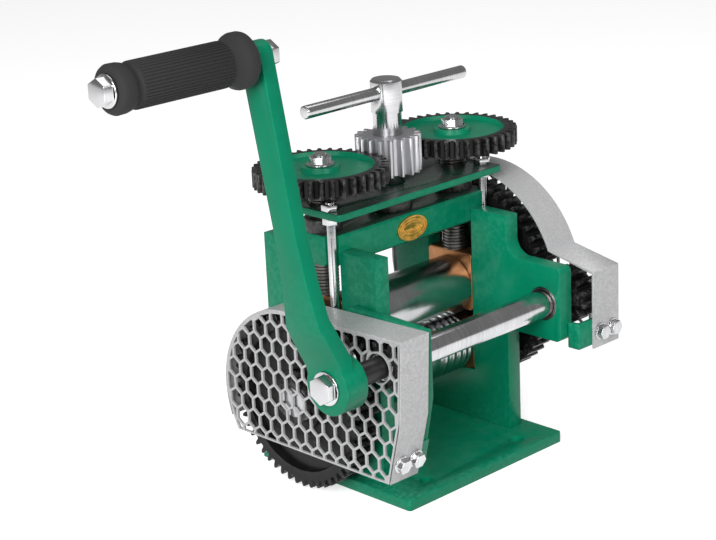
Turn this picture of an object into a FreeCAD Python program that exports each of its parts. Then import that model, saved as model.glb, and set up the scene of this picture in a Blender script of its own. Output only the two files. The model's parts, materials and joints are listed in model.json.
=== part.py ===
import FreeCAD, Part
import math
import os
import Sketcher

# Hand cranked rolling mill for flat and wire stock.
# X runs along the rolls with the crank at -X, -Y is the front with the drive shaft, Z is up,
# and the origin is on the underside of the base, below the middle of the rolls.

V = FreeCAD.Vector
doc = FreeCAD.newDocument("RollingMill")
sheet = doc.addObject("Spreadsheet::Sheet", "Sizes")
ALONG_X = FreeCAD.Rotation(V(0, 1, 0), 90)
UPRIGHT = FreeCAD.Rotation()
FLATS_ALONG_X = FreeCAD.Rotation(V(0, 0, 1), 30)
nodes = []

# Driving dimensions in millimetres
SIZES = [
    ("roll_length", 75.0), ("roll_diameter", 28.0), ("roll_end_clearance", 0.5), ("roll_gap", 0.3),
    ("lift_travel", 4.0), ("journal_diameter", 16.0), ("journal_clearance", 0.1),
    ("frame_thickness", 8.0), ("frame_depth", 71.0), ("frame_height", 109.0), ("slot_width", 27.6),
    ("frame_chamfer", 1.0),
    ("base_thickness", 5.0), ("base_overhang", 5.0), ("base_front", 56.0), ("base_back", 40.0),
    ("base_hole", 7.0), ("base_hole_spacing_x", 60.0), ("base_hole_front", 46.0), ("base_hole_back", 32.0),
    ("lower_axis_height", 41.5), ("block_slack", 0.15), ("block_below", 12.0),
    ("block_above", 11.0), ("top_block_above", 17.0), ("block_chamfer", 1.2),
    ("far_module", 1.75), ("near_module", 1.5), ("gear_teeth", 52), ("pinion_teeth", 13),
    ("idler_teeth", 12), ("idler_bore", 7.0), ("gear_width", 12.0), ("gear_offset", 6.0),
    ("web_recess", 3.0),
    ("shaft_diameter", 12.6), ("shaft_clearance", 0.05), ("shaft_end", 3.0), ("crank_end", 10.0),
    ("arm_clear", 51.0), ("hub_diameter", 24.0), ("hub_length", 12.0),
    ("arm_thickness", 7.0), ("arm_reach", 134.7), ("arm_lean", 27.4), ("arm_joggle", 7.0),
    ("arm_root_width", 21.0), ("arm_tip_width", 13.0), ("joggle_start", 9.0), ("joggle_rise", 18.0),
    ("grip_length", 67.0), ("grip_diameter", 17.8), ("grip_flange", 23.0), ("spindle_diameter", 6.0),
    ("grip_clearance", 0.1), ("arm_bolt_hex", 10.0),
    ("near_bracket_thickness", 4.5), ("bracket_front", 67.0), ("bracket_top", 90.0),
    ("bracket_bottom", 55.0), ("bracket_fillet", 8.0), ("bush_flange", 1.5), ("bush_wall", 1.5),
    ("guard_sheet", 1.0), ("near_guard_radius", 43.0), ("near_guard_depth", 16.7),
    ("near_guard_front", 71.0), ("near_guard_top", 86.3), ("near_guard_bottom", 20.0),
    ("near_guard_knee", 50.0), ("far_guard_radius", 53.0), ("far_guard_depth", 18.0),
    ("far_guard_front", 74.8), ("far_guard_bottom", 50.0), ("far_guard_nose", 86.4),
    ("guard_stand_off", 5.0), ("far_stand_off", 6.2), ("mesh_column", 7.6), ("mesh_row", 7.6),
    ("mesh_web", 1.2), ("mesh_border", 0.8), ("mesh_sheet", 1.0),
    ("lug_thickness", 3.0), ("lug_height", 12.0), ("guard_bolt_hex", 6.0),
    ("guard_bolt_inset", 4.5), ("guard_bolt_pitch", 8.5),
    ("beam_drop", 6.5), ("beam_height", 13.5), ("beam_end", 4.5),
    ("plate_over_beam", 9.0), ("top_plate_thickness", 3.0),
    ("top_plate_overhang", 6.5), ("top_plate_depth", 42.0),
    ("rod_diameter", 4.0), ("rod_spacing_y", 24.0), ("rod_bottom", 20.0), ("rod_gap", 0.6),
    ("rod_edge", 1.2),
    ("screw_diameter", 12.0), ("screw_clearance", 0.1), ("screw_stem", 6.0),
    ("nut_block_size", 17.0), ("nut_block_height", 6.0), ("rod_lug", 8.0), ("rod_lug_height", 10.0),
    ("ring_diameter", 19.0), ("ring_width", 4.4),
    ("top_module", 1.5), ("top_gear_teeth", 38), ("top_pinion_teeth", 18), ("gear_over_plate", 9.0),
    ("top_gear_width", 8.0), ("pinion_drop", 3.5), ("top_pinion_width", 17.0),
    ("post_diameter", 13.0), ("post_head", 14.4), ("post_above", 38.7), ("tee_diameter", 6.0),
    ("tee_length", 100.0), ("tee_drop", 6.0), ("collar_diameter", 20.0), ("collar_height", 5.0),
    ("tooth_backlash", 0.2),
]


def fill_sheet():
    """Writes every driving dimension as a plain number with its alias."""
    for row, (alias, value) in enumerate(SIZES, start=1):
        sheet.set(f"A{row}", alias)
        sheet.set(f"B{row}", str(value))
        sheet.setAlias(f"B{row}", alias)
    doc.recompute()


fill_sheet()
S = {alias: float(sheet.get(alias)) for alias, _ in SIZES}

# Places worked out from the driving dimensions
GAP = S["roll_length"] + 2 * S["roll_end_clearance"]
INNER = GAP / 2
OUTER = INNER + S["frame_thickness"]
MID = INNER + S["frame_thickness"] / 2
LOWER_Z = S["lower_axis_height"]
UPPER_Z = LOWER_Z + S["roll_diameter"] + S["roll_gap"]
SHAFT_Z = UPPER_Z + S["lift_travel"] / 2
FAR_CENTRES = S["far_module"] * (S["gear_teeth"] + S["pinion_teeth"]) / 2
SHAFT_Y = -math.sqrt(FAR_CENTRES ** 2 - (S["lift_travel"] / 2) ** 2)
GEAR_X = OUTER + S["gear_offset"]
GEAR_END = GEAR_X + S["gear_width"]
GROOVE_LANDS = (2.0, 1.8, 1.8, 1.8, 1.8)
GROOVE_SIZES = (0.8, 1.0, 1.3, 1.6, 2.0)
HUB_X = -(OUTER + S["arm_clear"])


def sized(text):
    """Turns aliases in an expression into cells of the sheet."""
    words = {alias for alias, _ in SIZES}
    out, word = "", ""
    for letter in text + " ":
        if letter.isalnum() or letter == "_":
            word += letter
            continue
        out += f"Sizes.{word}" if word in words else word
        out += letter
        word = ""
    return out.strip()


def bind(obj, prop, text):
    obj.setExpression(prop, sized(str(text)))


INNER_E = "(roll_length / 2 + roll_end_clearance)"
OUTER_E = f"({INNER_E} + frame_thickness)"
MID_E = f"({INNER_E} + frame_thickness / 2)"
UPPER_E = "(lower_axis_height + roll_diameter + roll_gap)"
SHAFT_Z_E = f"({UPPER_E} + lift_travel / 2)"
FAR_CENTRES_E = "(far_module * (gear_teeth + pinion_teeth) / 2)"
SHAFT_Y_E = f"(0 - sqrt({FAR_CENTRES_E} * {FAR_CENTRES_E} - lift_travel * lift_travel / 4))"
GEAR_X_E = f"({OUTER_E} + gear_offset)"
BEAM_E = "(frame_height - beam_drop)"
BEAM_TOP_E = f"({BEAM_E} + beam_height)"
PLATE_E = f"({BEAM_TOP_E} + plate_over_beam)"
PLATE_TOP_E = f"({PLATE_E} + top_plate_thickness)"
TOP_GEAR_E = f"({PLATE_TOP_E} + gear_over_plate)"
POST_TOP_E = f"({TOP_GEAR_E} + post_above)"
ROD_X_E = f"({OUTER_E} + rod_diameter / 2 + rod_gap)"
TIP_Y_E = f"({SHAFT_Y_E} + arm_lean)"
TIP_Z_E = f"({SHAFT_Z_E} + arm_reach)"
REACH_E = "sqrt(arm_reach * arm_reach + arm_lean * arm_lean)"
HUB_X_E = f"(0 - {OUTER_E} - arm_clear)"
FACE_X_E = f"({HUB_X_E} - arm_joggle)"


# Helpers for primitives
def place(obj, x, y, z, rotation=UPRIGHT):
    obj.Placement = FreeCAD.Placement(V(0, 0, 0), rotation)
    bind(obj, "Placement.Base.x", x)
    bind(obj, "Placement.Base.y", y)
    bind(obj, "Placement.Base.z", z)
    return obj


def cylinder(name, x, y, z, radius, height, rotation=UPRIGHT):
    obj = doc.addObject("Part::Cylinder", name)
    bind(obj, "Radius", radius)
    bind(obj, "Height", height)
    return place(obj, x, y, z, rotation)


def cone(name, x, y, z, bottom, top, height, rotation=UPRIGHT):
    obj = doc.addObject("Part::Cone", name)
    bind(obj, "Radius1", bottom)
    bind(obj, "Radius2", top)
    bind(obj, "Height", height)
    return place(obj, x, y, z, rotation)


def hexagon(name, x, y, z, across_flats, height, rotation=UPRIGHT):
    obj = doc.addObject("Part::Prism", name)
    obj.Polygon = 6
    bind(obj, "Circumradius", f"({across_flats}) / 1.7320508")
    bind(obj, "Height", height)
    return place(obj, x, y, z, rotation)


def fuse(name, *shapes):
    obj = doc.addObject("Part::MultiFuse", name)
    obj.Shapes = list(shapes)
    return obj


def cut(name, base, *tools):
    obj = doc.addObject("Part::Cut", name)
    obj.Base = base
    obj.Tool = tools[0] if len(tools) == 1 else fuse(name + "_tools", *tools)
    return obj


def group(name, *shapes):
    obj = doc.addObject("Part::Compound", name)
    obj.Links = list(shapes)
    return obj


def keep(obj, label):
    """Marks a finished sub-part, whose label names its file."""
    obj.Label = label
    nodes.append(obj)
    return obj


def solid(label, shape, x="0", y="0", z="0", rotation=UPRIGHT):
    """A sub-part whose outline comes from a formula rather than from a sketch."""
    obj = doc.addObject("Part::Feature", label)
    obj.Shape = shape
    place(obj, x, y, z, rotation)
    return keep(obj, label)


# Helpers for sketched bodies
def new_body(label):
    body = doc.addObject("PartDesign::Body", label)
    return keep(body, label)


def sketch_on(body, role, offset="0"):
    sketch = body.newObject("Sketcher::SketchObject", body.Name + "_sketch")
    plane = next(f for f in body.Origin.OriginFeatures if f.Role == role)
    sketch.AttachmentSupport = [(plane, "")]
    sketch.MapMode = "FlatFace"
    bind(sketch, "AttachmentOffset.Base.z", offset)
    return sketch


def pin_point(sketch, geometry, end, across, up):
    for kind, text in (("DistanceX", across), ("DistanceY", up)):
        value = float(sketch.evalExpression(sized(str(text))))
        index = sketch.addConstraint(Sketcher.Constraint(kind, -1, 1, geometry, end, value))
        sketch.setExpression(f"Constraints[{index}]", sized(str(text)))


def outline(sketch, points):
    """A closed outline of straight edges, each corner held by two expressions."""
    values = []
    for across, up in points:
        values.append(V(float(sketch.evalExpression(sized(str(across)))),
                        float(sketch.evalExpression(sized(str(up)))), 0))
    first = sketch.GeometryCount
    count = len(points)
    for i in range(count):
        sketch.addGeometry(Part.LineSegment(values[i], values[(i + 1) % count]))
    for i in range(count):
        following = first + (i + 1) % count
        sketch.addConstraint(Sketcher.Constraint("Coincident", first + i, 2, following, 1))
    for i, (across, up) in enumerate(points):
        pin_point(sketch, first + i, 1, across, up)


def rectangle(sketch, left, bottom, right, top):
    outline(sketch, [(left, bottom), (right, bottom), (right, top), (left, top)])


def circle(sketch, across, up, diameter):
    centre = V(float(sketch.evalExpression(sized(str(across)))),
               float(sketch.evalExpression(sized(str(up)))), 0)
    width = float(sketch.evalExpression(sized(str(diameter))))
    index = sketch.addGeometry(Part.Circle(centre, V(0, 0, 1), width / 2))
    pin_point(sketch, index, 3, across, up)
    held = sketch.addConstraint(Sketcher.Constraint("Diameter", index, width))
    sketch.setExpression(f"Constraints[{held}]", sized(str(diameter)))


def pad(body, sketch, length):
    feature = body.newObject("PartDesign::Pad", body.Name + "_pad")
    feature.Profile = sketch
    bind(feature, "Length", length)
    sketch.Visibility = False
    doc.recompute()
    return feature


def pocket(body, sketch, length, reverse=False):
    """Cuts a sketch into the body, and stops if it cuts nothing."""
    before = body.Shape.Volume
    feature = body.newObject("PartDesign::Pocket", body.Name + "_pocket")
    feature.Profile = sketch
    feature.Reversed = reverse
    bind(feature, "Length", length)
    doc.recompute()
    if body.Shape.Volume > before - 0.01:
        raise RuntimeError(f"the pocket of {body.Label} cuts nothing")
    return feature


def edges_where(feature, test):
    names = []
    for i, edge in enumerate(feature.Shape.Edges, start=1):
        if test(edge):
            names.append(f"Edge{i}")
    return names


def round_edges(body, feature, test, radius, kind="PartDesign::Fillet"):
    names = edges_where(feature, test)
    if not names:
        raise RuntimeError(f"{body.Label} has no such edge to round")
    dress = body.newObject(kind, body.Name + "_edges")
    dress.Base = (feature, names)
    bind(dress, "Radius" if kind.endswith("Fillet") else "Size", radius)
    doc.recompute()
    return dress


def runs_along(edge, axis):
    ends = [v.Point for v in edge.Vertexes]
    if len(ends) < 2 or not isinstance(edge.Curve, (Part.Line, Part.LineSegment)):
        return False
    step = ends[1] - ends[0]
    return step.Length > 1e-6 and abs(step.dot(axis)) > 0.999 * step.Length


# Base and frames
def make_base():
    """Flat plate that carries the whole mill, with four bench holes."""
    body = new_body("base_plate")
    sketch = sketch_on(body, "XY_Plane")
    half = f"{OUTER_E} + base_overhang"
    rectangle(sketch, f"0 - ({half})", "0 - base_front", half, "base_back")
    for side in ("-1", "1"):
        for depth in ("0 - base_hole_front", "base_hole_back"):
            circle(sketch, f"{side} * base_hole_spacing_x / 2", depth, "base_hole")
    plate = pad(body, sketch, "base_thickness")
    upright = V(0, 0, 1)
    round_edges(body, plate, lambda e: runs_along(e, upright), "frame_chamfer * 1.5")


def frame_outline(with_arm):
    """U shape with an open slot for the bearing blocks, from its foot round to the back post."""
    half, slot, floor = "frame_depth / 2", "slot_width / 2", "base_thickness"
    seat = "lower_axis_height - block_below"
    arm = [("0 - bracket_front", "bracket_bottom"), ("0 - bracket_front", "bracket_top"),
           (f"0 - {half}", "bracket_top")]
    front = [(f"0 - {half}", floor)]
    if with_arm:
        front += [(f"0 - {half}", "bracket_bottom")] + arm
    return front + [
        (f"0 - {half}", "frame_height"), (f"0 - {slot}", "frame_height"), (f"0 - {slot}", seat),
        (slot, seat), (slot, "frame_height"), (half, "frame_height"), (half, floor)]


def make_side_frame(label, side, with_arm):
    """Side plate with two posts; the far one has a forward arm for the drive shaft."""
    body = new_body(label)
    start = INNER_E if side > 0 else f"0 - {OUTER_E}"
    sketch = sketch_on(body, "YZ_Plane", start)
    outline(sketch, frame_outline(with_arm))
    if with_arm:
        circle(sketch, SHAFT_Y_E, SHAFT_Z_E, "shaft_diameter + 2 * bush_wall")
    plate = pad(body, sketch, "frame_thickness")
    lug_start = OUTER_E if side > 0 else f"0 - {OUTER_E} - rod_diameter - rod_gap - rod_edge"
    lugs = sketch_on(body, "YZ_Plane", lug_start)
    for depth in ("-1", "1"):
        middle = f"{depth} * rod_spacing_y / 2"
        rectangle(lugs, f"{middle} - rod_lug / 2", "rod_bottom - rod_lug_height / 2",
                  f"{middle} + rod_lug / 2", "rod_bottom + rod_lug_height / 2")
    plate = pad(body, lugs, "rod_diameter + rod_gap + rod_edge")
    holes = sketch_on(body, "XY_Plane", "rod_bottom + rod_lug_height / 2")
    rod_place = ROD_X_E if side > 0 else f"0 - {ROD_X_E}"
    for depth in ("-1", "1"):
        circle(holes, rod_place, f"{depth} * rod_spacing_y / 2", "rod_diameter")
    plate = pocket(body, holes, "rod_lug_height / 2")
    if not with_arm:
        return
    along = V(1, 0, 0)
    root = -S["frame_depth"] / 2

    def inner_corner(edge):
        point = edge.Vertexes[0].Point
        near_post = abs(point.y - root) < 0.01
        return runs_along(edge, along) and near_post and abs(point.z - S["bracket_top"]) < 0.01

    def outer_corner(edge):
        point = edge.Vertexes[0].Point
        return runs_along(edge, along) and abs(point.y + S["bracket_front"]) < 0.01

    filleted = round_edges(body, plate, inner_corner, "bracket_fillet")
    round_edges(body, filleted, outer_corner, "bracket_fillet / 3")


def make_near_bracket():
    """Plate on the outside of the near frame for the drive shaft, the idler and the guard."""
    body = new_body("near_shaft_bracket")
    sketch = sketch_on(body, "YZ_Plane", f"0 - ({OUTER_E} + near_bracket_thickness)")
    low = "near_guard_bottom + 3"
    outline(sketch, [
        ("0 - slot_width / 2 - 2.5", "bracket_bottom"), ("0 - slot_width / 2 - 2.5", "bracket_top - 8"),
        ("0 - slot_width / 2 - 10", "bracket_top - 3"), ("0 - bracket_front - 0.5", "bracket_top - 4.5"),
        ("0 - bracket_front - 0.5", "bracket_bottom"), ("0 - bracket_front + 6.1", low),
        ("0 - bracket_front + 17", low), ("0 - bracket_front + 15", "bracket_bottom")])
    circle(sketch, SHAFT_Y_E, SHAFT_Z_E, "shaft_diameter + 2 * bush_wall")
    circle(sketch, repr(IDLER_Y), repr(IDLER_Z), "idler_bore")
    pad(body, sketch, "near_bracket_thickness")
    reach = "guard_stand_off + near_guard_depth - 3"
    flange = sketch_on(body, "YZ_Plane", f"0 - ({OUTER_E} + {reach})")
    slope = "(7.5 / (near_guard_knee - near_guard_bottom))"
    wall = "0 - near_guard_front + guard_sheet + 2"
    at = [f"{wall} + {slope} * (near_guard_knee - near_guard_bottom - {rise})" for rise in (3, 15)]
    outline(flange, [(at[0], low), (at[1], f"{low} + 12"),
                     (f"{at[1]} + lug_thickness", f"{low} + 12"), (f"{at[0]} + lug_thickness", low)])
    pad(body, flange, reach)


def near_idler_centre():
    """Centre that meshes with the shaft pinion and the lower roll's gear, on the upper side."""
    to_pinion = S["near_module"] * (S["pinion_teeth"] + S["idler_teeth"]) / 2
    to_gear = S["near_module"] * (S["gear_teeth"] + S["idler_teeth"]) / 2
    along_y, along_z = -SHAFT_Y, LOWER_Z - SHAFT_Z
    apart = math.hypot(along_y, along_z)
    step = (to_pinion ** 2 - to_gear ** 2 + apart ** 2) / (2 * apart)
    rise = math.sqrt(to_pinion ** 2 - step ** 2)
    unit_y, unit_z = along_y / apart, along_z / apart
    return (SHAFT_Y + step * unit_y - rise * unit_z, SHAFT_Z + step * unit_z + rise * unit_y)


IDLER_Y, IDLER_Z = near_idler_centre()


# Gears
def gear_wire(module, teeth, phase):
    """Spur gear outline in the YZ plane with straight-sided teeth close to the involute."""
    pitch = module * teeth / 2
    slack = S["tooth_backlash"] / pitch / 2
    half = math.pi / teeth
    flank = [(pitch - 1.2 * module, half * 0.62 - slack), (pitch, half * 0.5 - slack),
             (pitch + module, half * 0.27 - slack)]
    points = []
    for i in range(int(teeth)):
        centre = phase + 2 * math.pi * i / teeth
        points += [(radius, centre - angle) for radius, angle in flank]
        points += [(radius, centre + angle) for radius, angle in reversed(flank)]
    corners = [V(0, r * math.cos(a), r * math.sin(a)) for r, a in points]
    return Part.makePolygon(corners + corners[:1])


def gear_solid(module, teeth, phase, width, bore):
    circle_edge = Part.makeCircle(bore / 2, V(0, 0, 0), V(1, 0, 0))
    wires = [gear_wire(module, teeth, phase), Part.Wire(circle_edge)]
    return Part.Face(wires, "Part::FaceMakerBullseye").extrude(V(width, 0, 0))


def ring(x, inner, outer, width):
    """A short tube about the X axis, for recessed webs and turned faces."""
    tube = Part.makeCylinder(outer, width, V(x, 0, 0), V(1, 0, 0))
    return tube.cut(Part.makeCylinder(inner, width, V(x, 0, 0), V(1, 0, 0)))


def meshing_phase(angle, phase, teeth, other):
    """Phase of the other gear so that it meshes; angle points from this gear to the other."""
    offset = (angle - phase) % (2 * math.pi / teeth)
    return angle + math.pi + offset * teeth / other + math.pi / other


def direction(y0, z0, y1, z1):
    return math.atan2(z1 - z0, y1 - y0)


def web_gear(module, phase, hub_recess):
    """Big roll gear with both faces turned back between the rim and the hub."""
    width, recess = S["gear_width"], S["web_recess"]
    bore = S["journal_diameter"] - 2
    blank = gear_solid(module, S["gear_teeth"], phase, width, bore)
    rim = module * (S["gear_teeth"] / 2 - 4.2)
    hub = bore / 2 + 7.0
    blank = blank.cut(ring(0, hub, rim, recess))
    blank = blank.cut(ring(width - recess, hub, rim, recess))
    return blank.cut(ring(0, bore / 2, hub, hub_recess)) if hub_recess else blank


def make_far_gears():
    """Pinion on the shaft and the gear on the upper roll."""
    teeth = S["pinion_teeth"]
    pinion = gear_solid(S["far_module"], teeth, 0.0, S["gear_width"], S["shaft_diameter"])
    solid("far_pinion", pinion, GEAR_X_E, SHAFT_Y_E, SHAFT_Z_E)
    line = direction(SHAFT_Y, SHAFT_Z, 0, UPPER_Z)
    phase = meshing_phase(line, 0.0, teeth, S["gear_teeth"])
    solid("upper_roll_gear", web_gear(S["far_module"], phase, 0), GEAR_X_E, "0", UPPER_E)


def make_near_gears():
    """Pinion on the shaft, the idler, and the gear on the lower roll."""
    start = f"0 - {GEAR_X_E} - gear_width"
    teeth, module, width = S["pinion_teeth"], S["near_module"], S["gear_width"]
    pinion = gear_solid(module, teeth, 0.0, width, S["shaft_diameter"])
    solid("near_pinion", pinion, start, SHAFT_Y_E, SHAFT_Z_E)
    line = direction(SHAFT_Y, SHAFT_Z, IDLER_Y, IDLER_Z)
    phase = meshing_phase(line, 0.0, teeth, S["idler_teeth"])
    bore = S["idler_bore"] + 2 * S["shaft_clearance"]
    idler = gear_solid(module, S["idler_teeth"], phase, width, bore)
    solid("idler_gear", idler, start, repr(IDLER_Y), repr(IDLER_Z))
    line = direction(IDLER_Y, IDLER_Z, 0, LOWER_Z)
    phase = meshing_phase(line, phase, S["idler_teeth"], S["gear_teeth"])
    solid("lower_roll_gear", web_gear(module, phase, 1.0), start, "0", "lower_axis_height")


def top_gear(phase):
    """Screw gear with its upper face turned back between the rim and the hub."""
    width, depth = S["top_gear_width"], 2.0
    wheel = gear_solid(S["top_module"], S["top_gear_teeth"], phase, width, S["screw_stem"])
    rim = S["top_module"] * (S["top_gear_teeth"] / 2 - 3.3)
    return wheel.cut(ring(width - depth, S["screw_stem"] / 2 + 5.5, rim, depth))


def make_top_gears():
    """The adjuster pinion and the two screw gears that it turns together."""
    stand = FreeCAD.Rotation(V(0, 1, 0), -90)
    centres = "top_module * (top_gear_teeth + top_pinion_teeth) / 2"
    few, many = S["top_pinion_teeth"], S["top_gear_teeth"]
    for label, side in (("top_gear_near", -1), ("top_gear_far", 1)):
        phase = meshing_phase(-side * math.pi / 2, 0.0, few, many)
        solid(label, top_gear(phase), f"{side} * {centres}", "0", TOP_GEAR_E, stand)
    pinion = gear_solid(S["top_module"], few, 0.0, S["top_pinion_width"], S["post_diameter"])
    solid("adjuster_pinion", pinion, "0", "0", f"{TOP_GEAR_E} - pinion_drop", stand)


# Rolls and their bearings
def roll_blank(name, axis, shoulder_near):
    """Barrel with its journals; the stubs outside the bearings carry the gears."""
    barrel = cylinder(name + "_barrel", "0 - roll_length / 2", "0", axis, "roll_diameter / 2",
                      "roll_length", ALONG_X)
    journal = cylinder(name + "_journal", f"0 - {OUTER_E} - 1", "0", axis, "journal_diameter / 2",
                       f"2 * ({OUTER_E} + 1)", ALONG_X)
    neck = "journal_diameter / 2 - 1"
    if not shoulder_near:
        stub = cylinder(name + "_stub", f"0 - {OUTER_E} - 1.3 - ring_width", "0", axis, neck,
                        f"{OUTER_E} + 1.3 + ring_width + {GEAR_X_E} + gear_width + 4", ALONG_X)
        return [barrel, journal, stub]
    stub = cylinder(name + "_stub", f"0 - {GEAR_X_E} - gear_width - 2", "0", axis, neck,
                    f"{GEAR_X_E} + gear_width + 2", ALONG_X)
    collar = cylinder(name + "_shoulder", f"0 - {GEAR_X_E}", "0", axis, "ring_diameter / 2",
                      "gear_offset - 1", ALONG_X)
    return [barrel, journal, stub, collar]


def groove_steps():
    """Lands and graded grooves of the lower roll, from the far end inwards."""
    full, edge, steps = S["roll_diameter"] / 2, S["roll_length"] / 2, []
    for land, size in zip(GROOVE_LANDS, GROOVE_SIZES):
        deep = full - 0.85 * size
        for width, near, far in ((land, full, full), (0.6 * size, full, deep),
                                 (0.8 * size, deep, deep), (0.6 * size, deep, full)):
            steps.append((edge - width, width, near, far))
            edge -= width
    steps.append((-S["roll_length"] / 2, edge + S["roll_length"] / 2, full, full))
    return steps


def make_rolls():
    """Smooth upper roll, and lower roll with graded wire grooves at its far end."""
    keep(fuse("UpperRoll", *roll_blank("upper", UPPER_E, False)), "upper_roll")
    barrel = []
    for start, width, far, near in groove_steps():
        name, at = "groove_step", (repr(start), "0", "lower_axis_height")
        if near == far:
            barrel.append(cylinder(name, *at, repr(near), repr(width), ALONG_X))
        else:
            barrel.append(cone(name, *at, repr(near), repr(far), repr(width), ALONG_X))
    rest = roll_blank("lower", "lower_axis_height", True)[1:]
    keep(fuse("LowerRoll", *barrel, *rest), "lower_roll")


def make_spacer_rings():
    """Loose rings on the upper roll, between its bearings and its gear."""
    rings = []
    for start in (f"0 - {OUTER_E} - 1.3 - ring_width", f"{OUTER_E} + 1.3"):
        blank = cylinder("ring_blank", start, "0", UPPER_E, "ring_diameter / 2", "ring_width", ALONG_X)
        bore = cylinder("ring_bore", f"{start} - 1", "0", UPPER_E,
                        "journal_diameter / 2 - 1 + journal_clearance", "ring_width + 2", ALONG_X)
        rings.append(cut("ring", blank, bore))
    keep(group("SpacerRings", *rings), "upper_roll_spacers")


def make_blocks():
    """Four bronze bearing blocks that stand in the slots of the side frames."""
    along = V(1, 0, 0)
    for name, side in (("near", -1), ("far", 1)):
        for level, axis, low, high in (
                ("lower", "lower_axis_height", "block_below", "block_above"),
                ("upper", UPPER_E, "block_above", "top_block_above")):
            body = new_body(f"{level}_block_{name}")
            width = "slot_width / 2 - block_slack"
            start = f"{INNER_E} - 0.2" if side > 0 else f"0 - {OUTER_E}"
            sketch = sketch_on(body, "YZ_Plane", start)
            rectangle(sketch, f"0 - ({width})", f"{axis} - {low}", width, f"{axis} + {high}")
            circle(sketch, "0", axis, "journal_diameter + 2 * journal_clearance")
            block = pad(body, sketch, "frame_thickness + 0.2")
            round_edges(body, block, lambda e: runs_along(e, along), "block_chamfer",
                        "PartDesign::Chamfer")


def make_roll_fittings():
    """Nuts that hold the big gears on the ends of the rolls."""
    far = f"{GEAR_X_E} + gear_width"
    for label, start, axis, thick in (
            ("upper_roll_nut", far, UPPER_E, "4"),
            ("lower_roll_nut", f"0 - ({far}) - 2", "lower_axis_height", "3")):
        blank = hexagon(label + "_blank", start, "0", axis, "19", thick, ALONG_X)
        bore = cylinder(label + "_bore", f"({start}) - 1", "0", axis, "journal_diameter / 2 - 1", "6",
                        ALONG_X)
        keep(cut(label + "_turned", blank, bore), label)


# Drive shaft, its bushes and the idler stud
def make_shaft():
    step = f"({GEAR_X_E} + gear_width + shaft_end / 2)"
    main = cylinder("shaft_main", f"0 - {step}", SHAFT_Y_E, SHAFT_Z_E, "shaft_diameter / 2",
                    f"2 * {step} + shaft_end / 2", ALONG_X)
    narrow = cylinder("shaft_crank_end", HUB_X_E, SHAFT_Y_E, SHAFT_Z_E, "crank_end / 2",
                      f"0 - {HUB_X_E}", ALONG_X)
    keep(fuse("Shaft", main, narrow), "drive_shaft")
    bore = "shaft_diameter / 2 + shaft_clearance"
    outer = "shaft_diameter / 2 + bush_wall"
    for label, start, width, flange in (
            ("shaft_bush_far", INNER_E, "frame_thickness", OUTER_E),
            ("shaft_bush_near", f"0 - {OUTER_E} - near_bracket_thickness", "near_bracket_thickness",
             f"0 - {OUTER_E}")):
        sleeve = cylinder(label + "_sleeve", start, SHAFT_Y_E, SHAFT_Z_E, outer, width, ALONG_X)
        collar = cylinder(label + "_flange", flange, SHAFT_Y_E, SHAFT_Z_E, f"{outer} + 1.5",
                          "bush_flange", ALONG_X)
        hole = cylinder(label + "_bore", f"({flange}) - 30", SHAFT_Y_E, SHAFT_Z_E, bore, "60", ALONG_X)
        keep(cut(label + "_turned", fuse(label + "_blank", sleeve, collar), hole), label)
    stem_end = f"0 - ({GEAR_X_E} + gear_width) - 1"
    stem = cylinder("stud_stem", stem_end, repr(IDLER_Y), repr(IDLER_Z), "idler_bore / 2",
                    f"{GEAR_X_E} + gear_width + 1 - {OUTER_E}", ALONG_X)
    head = cylinder("stud_head", f"{stem_end} - 1.2", repr(IDLER_Y), repr(IDLER_Z),
                    "idler_bore / 2 + 1.2", "1.2", ALONG_X)
    keep(fuse("Stud", stem, head), "idler_stud")


# Crank


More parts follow.
